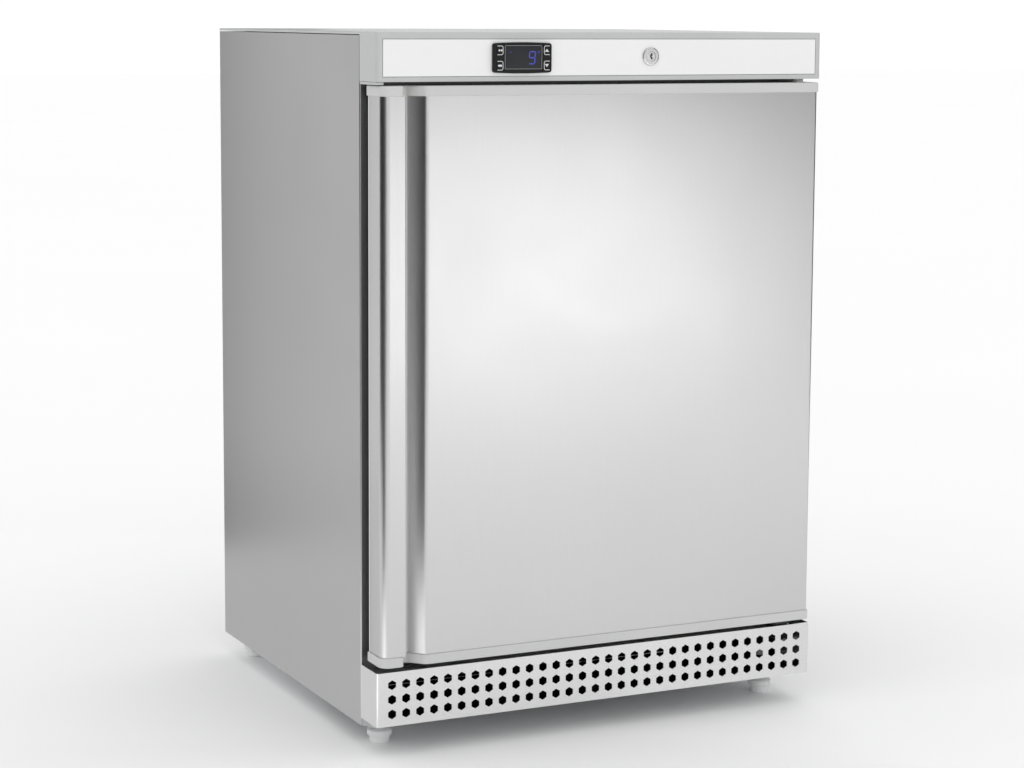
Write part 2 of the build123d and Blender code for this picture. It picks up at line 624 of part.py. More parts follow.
with BuildPart() as screws:
    for z in HINGE_SCREWS_Z:
        head_back = CAB_FRONT - LEAF_THICK
        with BuildSketch(Plane.XZ.offset(-head_back)):
            with Locations((SCREW_X, z)):
                RegularPolygon(HEAD_R, 6, major_radius=False)
        extrude(amount=HEAD_THICK)
        bar_y(SCREW_R, SCREW_X, z, head_back, head_back + SCREW_LENGTH)
    for dx in (-BOLT_DX, BOLT_DX):
        for dy in (-BOLT_DY, BOLT_DY):
            with BuildSketch(Plane.XY.offset(GROMMET_TOP)):
                with Locations((COMP_X + dx, COMP_Y + dy)):
                    RegularPolygon(HEAD_R, 6, major_radius=False)
            extrude(amount=HEAD_THICK)
            rod(SCREW_R, COMP_X + dx, COMP_Y + dy, GROMMET_TOP - SCREW_LENGTH, GROMMET_TOP)
save(screws, "machine_screws")

# ======================= door =======================

def door_outline(inset, rib_edge, rear):
    """Closed section of the door in plan, shrunk by an inset: rib, groove, sloped side, flat front."""
    left = -CAP_HALF + inset
    right = CAP_HALF - inset
    front = DOOR_FRONT + inset
    wall = rib_edge - inset
    floor = GROOVE_FLOOR + inset
    slope = GROOVE_SLOPE + inset * math.sqrt(2)
    corners = [(left, rear), (left, front), (wall, front), (wall, floor), (slope - floor, floor),
               (slope - front, front), (right, front), (right, rear)]
    radii = [12 - inset, 3.6 - inset, 1.5 + inset, 5 + inset, 10 - inset, 5 - inset]
    with BuildLine() as outline:
        FilletPolyline(*corners, radius=radii)
        Line(corners[-1], corners[0])
    return outline


skin_edge = SKIN_RIB_EDGE + CAP_PROUD
skin_outer = door_outline(CAP_PROUD, skin_edge, SKIN_REAR)
skin_inner = door_outline(CAP_PROUD + SHEET, skin_edge, SKIN_REAR)
with BuildPart() as door_skin:
    with BuildSketch(Plane.XY.offset(SKIN_BOTTOM)):
        add(make_face(skin_outer.edges(), mode=Mode.PRIVATE))
        add(make_face(skin_inner.edges(), mode=Mode.PRIVATE), mode=Mode.SUBTRACT)
    extrude(amount=SKIN_TOP - SKIN_BOTTOM)
    for z0, z1 in ((SKIN_BOTTOM - 1, DOOR_BOTTOM + CAP_HEIGHT + 0.3),
                   (DOOR_TOP - CAP_HEIGHT - 0.3, SKIN_TOP + 1)):
        block(RIB_EDGE - 3.6, SKIN_RIB_EDGE + 2.8, -299, GROOVE_FLOOR + CAP_PROUD + 0.1, z0, z1,
              Mode.SUBTRACT)
save(door_skin, "door_skin")

foam_outline = door_outline(CAP_PROUD + SHEET + GAP, skin_edge, SKIN_REAR)
with BuildPart() as door_foam:
    with BuildSketch(Plane.XY.offset(DOOR_BOTTOM + CAP_HEIGHT)):
        make_face(foam_outline.edges())
    extrude(amount=DOOR_TOP - DOOR_BOTTOM - 2 * CAP_HEIGHT)
save(door_foam, "door_foam")

cap_outer = door_outline(0, RIB_EDGE, DOOR_REAR)
tongue_outer = door_outline(CAP_PROUD - 0.1, RIB_EDGE, SKIN_REAR + 0.1)
tongue_inner = door_outline(CAP_PROUD + SHEET + 0.3, RIB_EDGE, SKIN_REAR + 0.1)

def door_cap(base_z, open_end, groove_z):
    """Moulded end cap with a groove for the skin and a seat for the hinge bush."""
    with BuildPart() as cap:
        with BuildSketch(Plane.XY.offset(base_z)):
            make_face(cap_outer.edges())
        extrude(amount=CAP_HEIGHT)
        for end, radius in ((open_end, CAP_EDGE), (-1 - open_end, CAP_LEDGE)):
            rim = cap.faces().filter_by(Axis.Z).sort_by(Axis.Z)[end].edges()
            fillet(rim.filter_by_position(Axis.Y, DOOR_FRONT - 1, DOOR_REAR - 1), radius=radius)
        with BuildSketch(Plane.XY.offset(groove_z)):
            add(make_face(tongue_outer.edges(), mode=Mode.PRIVATE))
            add(make_face(tongue_inner.edges(), mode=Mode.PRIVATE), mode=Mode.SUBTRACT)
        extrude(amount=CAP_TONGUE + 0.2, mode=Mode.SUBTRACT)
        rod(BUSH_R, HINGE_X, HINGE_Y, base_z - 1, base_z + CAP_HEIGHT + 1, Mode.SUBTRACT)
        if open_end == -1:
            block(LOCK_X - 7.5, LOCK_X + 22.5, -271.5, -263, LOCK_Z - CAM_LENGTH - 2, DOOR_TOP + 1,
                  Mode.SUBTRACT)
    return cap


cap_top = door_cap(DOOR_TOP - CAP_HEIGHT, -1, DOOR_TOP - CAP_HEIGHT - 0.1)
save(cap_top, "door_cap_top")
cap_bottom = door_cap(DOOR_BOTTOM, 0, DOOR_BOTTOM + CAP_HEIGHT - CAP_TONGUE - 0.1)
save(cap_bottom, "door_cap_bottom")

with BuildPart() as bushes:
    rod(BUSH_R, HINGE_X, HINGE_Y, DOOR_TOP - CAP_HEIGHT, DOOR_TOP)
    rod(BUSH_FLANGE, HINGE_X, HINGE_Y, DOOR_TOP, UPPER_LEAF_Z - BUSH_GAP)
    rod(BUSH_R, HINGE_X, HINGE_Y, DOOR_BOTTOM, DOOR_BOTTOM + CAP_HEIGHT)
    rod(BUSH_FLANGE, HINGE_X, HINGE_Y, LOWER_LEAF_Z + LEAF_THICK, DOOR_BOTTOM)
    rod(PIN_R + RUNNING, HINGE_X, HINGE_Y, LOWER_LEAF_Z, UPPER_LEAF_Z, Mode.SUBTRACT)
save(bushes, "hinge_bushes")

# Inner door panel with a raised dyke inside the gasket.
with BuildPart() as door_liner:
    block(-CAP_HALF + CAP_PROUD, CAP_HALF - CAP_PROUD, SKIN_REAR, DOOR_REAR,
          DOOR_BOTTOM + CAP_HEIGHT + 0.1, DOOR_TOP - CAP_HEIGHT - 0.1)
    with BuildSketch(Plane.XZ.offset(-DOOR_REAR)):
        with Locations((0, (DYKE_Z0 + DYKE_Z1) / 2)):
            RectangleRounded(2 * DYKE_HALF, DYKE_Z1 - DYKE_Z0, 18)
            RectangleRounded(2 * (DYKE_HALF - DYKE_WIDTH), DYKE_Z1 - DYKE_Z0 - 2 * DYKE_WIDTH, 12,
                             mode=Mode.SUBTRACT)
    extrude(amount=-DYKE_DEPTH)
    fillet(door_liner.faces().sort_by(Axis.Y)[-1].edges(), radius=4)
save(door_liner, "door_liner")

def ring(half, z0, z1, width, y0, y1, mode=Mode.ADD):
    """A rectangular ring that stands in the door's plane."""
    with BuildSketch(Plane.XZ.offset(-y1)) as section:
        with Locations((0, (z0 + z1) / 2)):
            Rectangle(2 * half, z1 - z0)
            Rectangle(2 * (half - width), z1 - z0 - 2 * width, mode=Mode.SUBTRACT)
    extrude(section.sketch, amount=y1 - y0, mode=mode)


with BuildPart() as gasket:
    ring(GASKET_HALF, GASKET_Z0, GASKET_Z1, GASKET_WIDTH, DOOR_REAR, GASKET_REAR)
    ring(GASKET_HALF + 1, GASKET_Z0 - 1, GASKET_Z1 + 1, 5, -253.5, -250.5, Mode.SUBTRACT)
    ring(GASKET_HALF - 5, GASKET_Z0 + 5, GASKET_Z1 - 5, 8, -249.2, -246.8, Mode.SUBTRACT)
save(gasket, "door_gasket")

with BuildPart() as magnet:
    ring(GASKET_HALF - 5.2, GASKET_Z0 + 5.2, GASKET_Z1 - 5.2, 7.6, -249.1, -246.9)
save(magnet, "gasket_magnet")

# ======================= inside the cabinet =======================
def wire_shelf(level):
    """Welded wire shelf: thick border and cross wires, thin bars from front to back."""
    z = RIB_FIRST + level * RIB_PITCH + RIB_HEIGHT + SHELF_WIRE
    centre_y = (SHELF_FRONT + SHELF_BACK) / 2
    depth = SHELF_BACK - SHELF_FRONT
    corners = [(-SHELF_HALF_X, SHELF_FRONT, z), (SHELF_HALF_X, SHELF_FRONT, z),
               (SHELF_HALF_X, SHELF_BACK, z), (-SHELF_HALF_X, SHELF_BACK, z)]
    with BuildPart() as shelf:
        with BuildLine() as border:
            FilletPolyline(*corners, radius=14, close=True)
        loop = border.wires()[0]
        with BuildSketch(Plane(origin=loop @ 0, z_dir=loop % 0)):
            Circle(SHELF_WIRE)
        sweep(path=loop)
        for y in (centre_y - depth / 6, centre_y + depth / 6):
            with Locations(Location((0, y, z), (0, 90, 0))):
                Cylinder(SHELF_WIRE - 0.2, 2 * SHELF_HALF_X)
        for i in range(SHELF_BARS):
            x = (i - (SHELF_BARS - 1) / 2) * (2 * SHELF_HALF_X - 26) / (SHELF_BARS - 1)
            bar_y(BAR_WIRE, x, z + SHELF_WIRE + 0.6, SHELF_FRONT, SHELF_BACK)
    return shelf


for name, level in SHELF_LEVELS.items():
    save(wire_shelf(level), name)

with BuildPart() as probe:
    block(CAVITY_HALF - 2.5, CAVITY_HALF, 96, 116, 696, 716)
    block(CAVITY_HALF - 7, CAVITY_HALF - 2.5, 101, 111, 700, 712)
    rod(3.0, CAVITY_HALF - 6, 106, 686, 722)
save(probe, "temperature_probe")

# Plate evaporator on the back wall, with the raised channel of its refrigerant circuit.
with BuildPart() as evaporator:
    block(-EVAP_HALF, EVAP_HALF, EVAP_BACK - EVAP_SHEET, EVAP_BACK, EVAP_Z0, EVAP_Z1)
    for x in (-EVAP_HALF + 20, EVAP_HALF - 20):
        for z in (EVAP_Z0 + 20, EVAP_Z1 - 20):
            bar_y(5, x, z, EVAP_BACK, CAVITY_BACK)
    pitch = (EVAP_Z1 - EVAP_Z0 - 60) / (CHANNEL_ROWS - 1)
    with BuildSketch(Plane.XZ.offset(-EVAP_BACK + EVAP_SHEET)):
        for row in range(CHANNEL_ROWS):
            z = EVAP_Z0 + 30 + row * pitch
            with Locations((0, z)):
                SlotOverall(2 * EVAP_HALF - 70, CHANNEL_WIDTH)
            if row < CHANNEL_ROWS - 1:
                end = (EVAP_HALF - 40) * (1 if row % 2 else -1)
                with Locations((end, z + pitch / 2)):
                    SlotOverall(pitch + CHANNEL_WIDTH, CHANNEL_WIDTH, rotation=90)
    extrude(amount=3)
    fillet(evaporator.faces().filter_by(Axis.Y).sort_by(Axis.Y)[0].edges(), radius=1.4)
save(evaporator, "evaporator_plate")

# Fan: square frame with rear motor cup, seven-blade rotor, shroud with a finger guard.
with BuildPart() as shroud:
    block(-SHROUD_HALF, SHROUD_HALF, SHROUD_FRONT, CAVITY_BACK - GAP, SHROUD_Z0, SHROUD_Z1)
    fillet(shroud.edges().filter_by(Axis.Z).sort_by(Axis.Y)[:2], radius=8)
    block(-SHROUD_HALF + SHROUD_WALL, SHROUD_HALF - SHROUD_WALL, SHROUD_FRONT + SHROUD_WALL, CAVITY_BACK,
          SHROUD_Z0 - 1, SHROUD_Z1 - SHROUD_WALL, Mode.SUBTRACT)
    with BuildSketch(Plane.XZ.offset(1 - SHROUD_FRONT)):
        with Locations((0, FAN_Z)):
            Circle(FAN_BORE)
            for radius in GUARD_RINGS:
                Circle(radius + 1.2, mode=Mode.SUBTRACT)
                Circle(radius - 1.2)
            Circle(7, mode=Mode.SUBTRACT)
            with PolarLocations(0, 4, start_angle=45, angular_range=180):
                Rectangle(2 * FAN_BORE, 3, mode=Mode.SUBTRACT)
    extrude(amount=-4, mode=Mode.SUBTRACT)
save(shroud, "fan_shroud")

with BuildPart() as fan_frame:
    block(-FAN_HALF, FAN_HALF, FAN_FRONT, FAN_REAR, FAN_Z - FAN_HALF, FAN_Z + FAN_HALF)
    fillet(fan_frame.edges().filter_by(Axis.Y), radius=6)
    bar_y(FAN_BORE, 0, FAN_Z, FAN_FRONT - 1, FAN_REAR + 1, Mode.SUBTRACT)
    bar_y(CUP_R, 0, FAN_Z, FAN_FRONT + 14.5, FAN_REAR)
    with BuildSketch(Plane.XZ.offset(-FAN_REAR + 3)):
        with Locations((0, FAN_Z)):
            with PolarLocations(FAN_BORE / 2 + 5, 3, start_angle=90):
                Rectangle(FAN_BORE - 8, 4)
    extrude(amount=-3)
    bar_y(SHAFT_R + RUNNING, 0, FAN_Z, FAN_FRONT, FAN_REAR - 3, Mode.SUBTRACT)
    for x in (-FAN_SCREW, FAN_SCREW):
        for z in (FAN_Z - FAN_SCREW, FAN_Z + FAN_SCREW):
            bar_y(2.2, x, z, FAN_FRONT - 1, FAN_REAR + 1, Mode.SUBTRACT)
save(fan_frame, "fan_frame")

with BuildPart() as fan_blade:
    for i in range(BLADES):
        angle = 360 / BLADES * i
        with Locations(Location((0, BLADE_MID, FAN_Z), (0, angle, 0))):
            with Locations(Location((0, 0, 36), (0, 0, 35))):
                Box(30, 1.6, 42)
    bar_y(HUB_R, 0, FAN_Z, FAN_FRONT + 1.5, FAN_FRONT + 14.0)
    with BuildSketch(Plane.XZ.offset(-FAN_FRONT + 10)):
        with Locations((0, FAN_Z)):
            Circle(BLADE_TIP)
    extrude(amount=-60, mode=Mode.INTERSECT)
    bar_y(CUP_R + 0.8, 0, FAN_Z, FAN_FRONT + 14.0, FAN_REAR + 5, Mode.SUBTRACT)
    bar_y(SHAFT_R, 0, FAN_Z, FAN_FRONT + 10, FAN_REAR - 5)
save(fan_blade, "fan_blade")

# Drain from the liner's gutter down to the tray over the compressor.
with BuildPart() as drain:
    rod(DRAIN_R, 0, DRAIN_Y, DRAIN_END, LINER_STEP_TOP)
    rod(DRAIN_R - 1.2, 0, DRAIN_Y, DRAIN_END - 1, LINER_STEP_TOP + 1, Mode.SUBTRACT)
save(drain, "drain_tube")

with BuildPart() as tray:
    block(-10, 150, 95, 215, TRAY_Z, TRAY_Z + 24)
    fillet(tray.edges().filter_by(Axis.Z), radius=12)
    fillet(tray.faces().sort_by(Axis.Z)[0].edges(), radius=4)
    offset(amount=-TRAY_WALL, openings=tray.faces().sort_by(Axis.Z)[-1])
    for dx in (-30, 30):
        for dy in (-20, 20):
            rod(4, COMP_X + dx, COMP_Y + dy, TRAY_Z - 4, TRAY_Z + 0.5)
save(tray, "drip_tray")

# ======================= refrigerating machine =======================
with BuildPart() as compressor:
    with BuildSketch(Plane.XY.offset(SHELL_Z0)):
        with Locations((COMP_X, COMP_Y)):
            Ellipse(SHELL_X, SHELL_Y)
    extrude(amount=SHELL_Z1 - SHELL_Z0)
    fillet(compressor.edges().filter_by_position(Axis.Z, SHELL_Z1 - 0.1, SHELL_Z1 + 0.1), radius=32)
    fillet(compressor.edges().filter_by_position(Axis.Z, SHELL_Z0 - 0.1, SHELL_Z0 + 0.1), radius=16)
    with BuildSketch(Plane.XY.offset(SEAM_Z)):
        with Locations((COMP_X, COMP_Y)):
            Ellipse(SHELL_X + 3.5, SHELL_Y + 3.5)
    extrude(amount=4)
    with BuildSketch(Plane.XY.offset(PLATE_Z0)):
        with Locations((COMP_X, COMP_Y)):
            RectangleRounded(196, 126, 14)
    extrude(amount=PLATE_Z1 - PLATE_Z0)
    for dx in (-BOLT_DX, BOLT_DX):
        for dy in (-BOLT_DY, BOLT_DY):
            rod(7.2, COMP_X + dx, COMP_Y + dy, PLATE_Z0 - 1, PLATE_Z1 + 1, Mode.SUBTRACT)
    for y, z, radius in ((COMP_Y, SUCTION_Z, SUCTION_R), (DISCHARGE_Y, DISCHARGE_Z, COIL_R)):
        with Locations(Location((COMP_X - SHELL_X + 2, y, z), (0, 90, 0))):
            Cylinder(radius + 1.2, 40)
save(compressor, "compressor")

with BuildPart() as grommets:
    for dx in (-BOLT_DX, BOLT_DX):
        for dy in (-BOLT_DY, BOLT_DY):
            x, y = COMP_X + dx, COMP_Y + dy
            rod(10, x, y, PAN_TOP, PLATE_Z0 - 0.1)
            rod(7.0, x, y, PLATE_Z0 - 0.1, PLATE_Z1 + 0.1)
            rod(9.5, x, y, PLATE_Z1 + 0.1, GROMMET_TOP)
            rod(SCREW_HOLE, x, y, PAN_TOP - 1, 60, Mode.SUBTRACT)
save(grommets, "compressor_grommets")

with BuildPart() as terminal_cover:
    block(COMP_X + 60, COMP_X + 118, COMP_Y - 26, COMP_Y + 26, 84, 160)
    fillet(terminal_cover.faces().sort_by(Axis.X)[-1].edges(), radius=5)
    with BuildSketch(Plane.XY.offset(80)):
        with Locations((COMP_X, COMP_Y)):
            Ellipse(SHELL_X + 3.8, SHELL_Y + 3.8)
    extrude(amount=90, mode=Mode.SUBTRACT)
save(terminal_cover, "terminal_cover")

# Wire-and-tube condenser on the back: serpentine tube, straight wires on both of its faces.
coil_bend = COIL_PITCH / 2
with BuildPart() as coil:
    with BuildLine() as route:
        for i in range(COIL_PASSES):
            z = COIL_TOP - i * COIL_PITCH
            direction = 1 if i % 2 == 0 else -1
            here = (-direction * COIL_HALF, COIL_Y, z)
            there = (direction * COIL_HALF, COIL_Y, z)
            Line(here, there)
            if i < COIL_PASSES - 1:
                crown = (direction * (COIL_HALF + coil_bend), COIL_Y, z - coil_bend)
                ThreePointArc(there, crown, (direction * COIL_HALF, COIL_Y, z - COIL_PITCH))
        FilletPolyline((COIL_HALF, COIL_Y, COIL_BOTTOM), (DRIER_X, COIL_Y, COIL_BOTTOM),
                       (DRIER_X, COIL_Y, DRIER_TOP), radius=14)
    with BuildSketch(Plane(origin=(-COIL_HALF, COIL_Y, COIL_TOP), z_dir=(1, 0, 0))):
        Circle(COIL_R)
    sweep(path=route.wires()[0])
save(coil, "condenser_coil")

with BuildPart() as wires:
    for i in range(WIRE_COUNT):
        x = (i - (WIRE_COUNT - 1) / 2) * WIRE_PITCH
        for side in (-1, 1):
            rod(WIRE_R, x, COIL_Y + side * (COIL_R + WIRE_R), COIL_BOTTOM - 15, COIL_TOP + 15)
save(wires, "condenser_wires")

# Spacer clips: hold the coil off the back panel and keep the cabinet clear of the wall.
with BuildPart() as spacers:
    for x in (-SPACER_X, SPACER_X):
        for z in (COIL_TOP - COIL_PITCH, COIL_BOTTOM + COIL_PITCH):
            block(x - 7, x + 7, CAB_BACK, REAR_END, z - 11, z + 11)
            with Locations(Location((x, COIL_Y, z), (0, 90, 0))):
                Cylinder(COIL_R + 0.1, 30, mode=Mode.SUBTRACT)
    fillet(spacers.faces().filter_by(Axis.Y).sort_by(Axis.Y)[-4:].edges(), radius=3)
save(spacers, "rear_spacers")

discharge = pipe(COIL_R, 14, (STUB_X, DISCHARGE_Y, DISCHARGE_Z), (-120, DISCHARGE_Y, DISCHARGE_Z),
                 (-120, COIL_Y, DISCHARGE_Z), (-262, COIL_Y, DISCHARGE_Z), (-262, COIL_Y, COIL_TOP),
                 (-COIL_HALF, COIL_Y, COIL_TOP))
save(discharge, "discharge_pipe")
suction = pipe(SUCTION_R, 16, (STUB_X, COMP_Y, SUCTION_Z), (SUCTION_X, COMP_Y, SUCTION_Z),
               (SUCTION_X, RISER_Y, SUCTION_Z), (SUCTION_X, RISER_Y, SUCTION_TOP),
               (SUCTION_X, EVAP_BACK, SUCTION_TOP))
save(suction, "suction_pipe")

with BuildPart() as drier:
    with BuildSketch(Plane.XZ.offset(-COIL_Y)):
        with BuildLine():
            Polyline((DRIER_X, DRIER_BOTTOM), (DRIER_X + 2.5, DRIER_BOTTOM),
                     (DRIER_X + 2.5, DRIER_BOTTOM + 8), (DRIER_X + DRIER_R, DRIER_BOTTOM + 18),
                     (DRIER_X + DRIER_R, DRIER_TOP - 18), (DRIER_X + 3, DRIER_TOP - 8),
                     (DRIER_X + 3, DRIER_TOP), (DRIER_X, DRIER_TOP), close=True)
        make_face()
    revolve(axis=Axis((DRIER_X, COIL_Y, 0), (0, 0, 1)))
save(drier, "filter_drier")

capillary = pipe(CAPILLARY_R, 10, (DRIER_X, COIL_Y, DRIER_BOTTOM), (DRIER_X, COIL_Y, CAPILLARY_LOW),
                 (DRIER_X, RISER_Y, CAPILLARY_LOW), (CAPILLARY_X, RISER_Y, CAPILLARY_LOW),
                 (CAPILLARY_X, RISER_Y, CAPILLARY_TOP), (CAPILLARY_X, EVAP_BACK, CAPILLARY_TOP))
save(capillary, "capillary_tube")

# Gland through the pan's rear upstand, for the mains cord.
with BuildPart() as gland:
    bar_y(GLAND_NUT, GLAND_X, GLAND_Z, PAN_REAR, PAN_REAR + 6)
    bar_y(GLAND_BODY, GLAND_X, GLAND_Z, PAN_REAR - 12, PAN_REAR)
    bar_y(8.5, GLAND_X, GLAND_Z, PAN_REAR + 6, PAN_REAR + 14)
    bar_y(GLAND_BORE, GLAND_X, GLAND_Z, PAN_REAR - 20, PAN_REAR + 20, Mode.SUBTRACT)
save(gland, "mains_gland")

# Screw-in feet: tapered plastic base, wide collar and threaded stud.
for name, side, foot_y in (("foot_front_left", -1, FOOT_FRONT_Y), ("foot_front_right", 1, FOOT_FRONT_Y),
                           ("foot_rear_left", -1, FOOT_REAR_Y), ("foot_rear_right", 1, FOOT_REAR_Y)):
    foot_x = side * FOOT_X
    with BuildPart() as foot:
        with BuildSketch(Plane.XZ.offset(-foot_y)):
            with BuildLine():
                Polyline((foot_x, 0), (foot_x + 11, 0), (foot_x + 12, 1), (foot_x + FOOT_BASE, 8),
                         (foot_x + FOOT_COLLAR, 9.5), (foot_x + FOOT_COLLAR, 15.5), (foot_x + 13.5, 17),
                         (foot_x + FOOT_NECK, 20), (foot_x + FOOT_NECK, 25), (foot_x + STUD_R, 26),
                         (foot_x + STUD_R, STUD_TOP), (foot_x, STUD_TOP), close=True)
            make_face()
        revolve(axis=Axis((foot_x, foot_y, 0), (0, 0, 1)))
    save(foot, name)
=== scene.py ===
"""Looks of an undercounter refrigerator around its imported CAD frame. Metres, +Z up, front towards -Y."""

import json
import math

import bmesh
import bpy
from mathutils import Matrix, Vector


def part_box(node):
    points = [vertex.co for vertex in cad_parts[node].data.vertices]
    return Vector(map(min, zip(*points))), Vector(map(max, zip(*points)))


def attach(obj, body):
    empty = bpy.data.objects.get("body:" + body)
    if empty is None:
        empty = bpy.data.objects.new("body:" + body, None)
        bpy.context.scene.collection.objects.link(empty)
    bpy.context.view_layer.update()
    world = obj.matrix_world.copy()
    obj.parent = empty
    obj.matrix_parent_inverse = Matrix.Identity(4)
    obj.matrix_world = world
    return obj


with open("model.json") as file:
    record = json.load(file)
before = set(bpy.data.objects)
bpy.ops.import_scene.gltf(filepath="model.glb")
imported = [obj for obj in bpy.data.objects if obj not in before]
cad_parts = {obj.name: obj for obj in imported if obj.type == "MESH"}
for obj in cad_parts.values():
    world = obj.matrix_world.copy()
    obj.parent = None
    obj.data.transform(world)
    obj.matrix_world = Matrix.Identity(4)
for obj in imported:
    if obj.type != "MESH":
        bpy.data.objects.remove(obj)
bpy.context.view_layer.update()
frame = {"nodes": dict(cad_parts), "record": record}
scene = bpy.context.scene
MM = 0.001


# ---------------------------------------------------------------- node graphs

class Graph:
    """One material's node tree, with short calls to add nodes and link them."""

    def __init__(self, name):
        self.material = bpy.data.materials.new(name)
        self.material.use_nodes = True
        self.tree = self.material.node_tree
        self.tree.nodes.clear()
        self.shader = self.add("ShaderNodeBsdfPrincipled")
        output = self.add("ShaderNodeOutputMaterial")
        self.tree.links.new(self.shader.outputs["BSDF"], output.inputs["Surface"])
        self.place = self.add("ShaderNodeTexCoord").outputs["Object"]

    def add(self, kind, **settings):
        node = self.tree.nodes.new(kind)
        for key, value in settings.items():
            setattr(node, key, value)
        return node

    def link(self, source, node, socket):
        self.tree.links.new(source, node.inputs[socket])

    def fix(self, **values):
        """Constants straight on the shader's own sockets."""
        for key, value in values.items():
            self.shader.inputs[key.replace("_", " ")].default_value = value

    def noise(self, scale, stretch=(1, 1, 1), detail=3.0, roughness=0.55, distortion=0.0):
        """Noise over the object's own coordinates, scaled per axis."""
        mapping = self.add("ShaderNodeMapping")
        mapping.inputs["Scale"].default_value = stretch
        self.link(self.place, mapping, "Vector")
        node = self.add("ShaderNodeTexNoise")
        node.inputs["Scale"].default_value = scale
        node.inputs["Detail"].default_value = detail
        node.inputs["Roughness"].default_value = roughness
        node.inputs["Distortion"].default_value = distortion
        self.link(mapping.outputs["Vector"], node, "Vector")
        return node.outputs["Fac"]

    def cells(self, scale):
        """Voronoi cells over the object's own coordinates."""
        node = self.add("ShaderNodeTexVoronoi")
        node.inputs["Scale"].default_value = scale
        self.link(self.place, node, "Vector")
        return node.outputs

    def range(self, source, low, high, from_low=0.3, from_high=0.7):
        """Source mapped from one range of values to another, clamped."""
        node = self.add("ShaderNodeMapRange")
        limits = {"From Min": from_low, "From Max": from_high, "To Min": low, "To Max": high}
        for socket, value in limits.items():
            node.inputs[socket].default_value = value
        self.link(source, node, "Value")
        return node.outputs["Result"]

    def blend(self, factor, first, second):
        """Colour between first and second by a factor; either may be a colour or a socket."""
        node = self.add("ShaderNodeMix", data_type="RGBA")
        for value, index in ((factor, 0), (first, 6), (second, 7)):
            if isinstance(value, bpy.types.NodeSocket):
                self.tree.links.new(value, node.inputs[index])
            elif isinstance(value, (int, float)):
                node.inputs[index].default_value = value
            else:
                node.inputs[index].default_value = (*value, 1)
        return node.outputs[2]

    def arithmetic(self, operation, *values):
        """One operation on sockets or numbers."""
        node = self.add("ShaderNodeMath", operation=operation)
        for index, value in enumerate(values):
            if isinstance(value, bpy.types.NodeSocket):
                self.link(value, node, index)
            else:
                node.inputs[index].default_value = value
        return node.outputs[0]

    def within(self, **limits):
        """1 inside the given limits of x, y or z on the object, 0 outside; x counts from the middle."""
        parts = self.add("ShaderNodeSeparateXYZ")
        self.link(self.place, parts, "Vector")
        product = None
        for axis, (low, high) in limits.items():
            value = parts.outputs[axis.upper()]
            if axis == "x":
                value = self.arithmetic("ABSOLUTE", value)
            for operation, limit in (("GREATER_THAN", low), ("LESS_THAN", high)):
                test = self.arithmetic(operation, value, limit)
                product = test if product is None else self.arithmetic("MULTIPLY", product, test)
        return product

    def bump(self, height, strength, distance):
        """Surface normal raised by height, which counts for distance in metres."""
        node = self.add("ShaderNodeBump")
        node.inputs["Strength"].default_value = strength
        node.inputs["Distance"].default_value = distance
        self.link(height, node, "Height")
        return node.outputs["Normal"]

    def colour(self, source):
        self.link(source, self.shader, "Base Color")

    def roughness(self, source):
        self.link(source, self.shader, "Roughness")

    def normal(self, source):
        self.link(source, self.shader, "Normal")


PAINTED_SHADE_TONE = 0.3                      # painted shade: how much of its tone brushed sheet keeps inside its painted shade limits
PAINTED_SHADE_ZINC = (0.012, 0.012, 0.012)       # painted shade: colour of zinc coated sheet inside its painted shade limits


def shade(colour, factor):
    return tuple(min(1.0, c * factor) for c in colour)


def brushed(name, colour, roughness, grain=(3200, 3200, 30), anisotropic=0.0, variation=0.022,
            bump=0.012, painted_shade=None):
    """Brushed sheet: fine lines along one axis, broad faint smudges, satin gloss; painted shade inside the
    given limits.
    """
    g = Graph(name)
    lines = g.noise(1.0, grain, detail=4.0, roughness=0.6)
    smudge = g.noise(3.2, detail=3.0, distortion=0.6)
    base = g.blend(g.range(lines, 0, 1), shade(colour, 1 - variation), shade(colour, 1 + variation))
    tone = g.blend(g.range(smudge, 0, 0.3), base, shade(colour, 0.97))
    # Painted shade: the tone darkened inside the given limits.
    g.colour(g.blend(g.within(**painted_shade), tone, shade(colour, PAINTED_SHADE_TONE)) if painted_shade else tone)
    g.fix(Metallic=1.0, Anisotropic=anisotropic)
    around = g.add("ShaderNodeTangent", direction_type="RADIAL", axis="Z")
    g.link(around.outputs["Tangent"], g.shader, "Tangent")
    fine = g.range(lines, roughness - 0.02, roughness + 0.02)
    g.roughness(g.arithmetic("ADD", fine, g.range(smudge, -0.015, 0.02)))
    g.normal(g.bump(lines, bump, 0.02 * MM))
    return g.material


def plastic(name, colour, roughness=0.42, grain=2600, bump=0.10, variation=0.03, specular=0.5,
            spread=0.05):
    """Moulded plastic: spark-eroded grain, faint changes of tone and gloss from handling."""
    g = Graph(name)
    texture = g.noise(grain, detail=2.0)
    tone = g.noise(9.0, detail=3.0)
    g.colour(g.blend(g.range(tone, 0, 1), shade(colour, 1 - variation), shade(colour, 1 + variation)))
    g.fix(Specular_IOR_Level=specular)
    g.roughness(g.range(tone, roughness - spread, roughness + spread))
    g.normal(g.bump(texture, bump, 0.05 * MM))
    return g.material


def paint(name, colour, roughness=0.4, peel=900, bump=0.12, specular=0.5):
    """Powder coat: orange peel and light dust in the tone."""
    g = Graph(name)
    peel_height = g.noise(peel, detail=2.0)
    tone = g.noise(14.0, detail=4.0)
    g.colour(g.blend(g.range(tone, 0, 1), shade(colour, 0.94), shade(colour, 1.05)))
    g.fix(Specular_IOR_Level=specular)
    g.roughness(g.range(tone, roughness - 0.06, roughness + 0.08))
    g.normal(g.bump(peel_height, bump, 0.08 * MM))
    return g.material


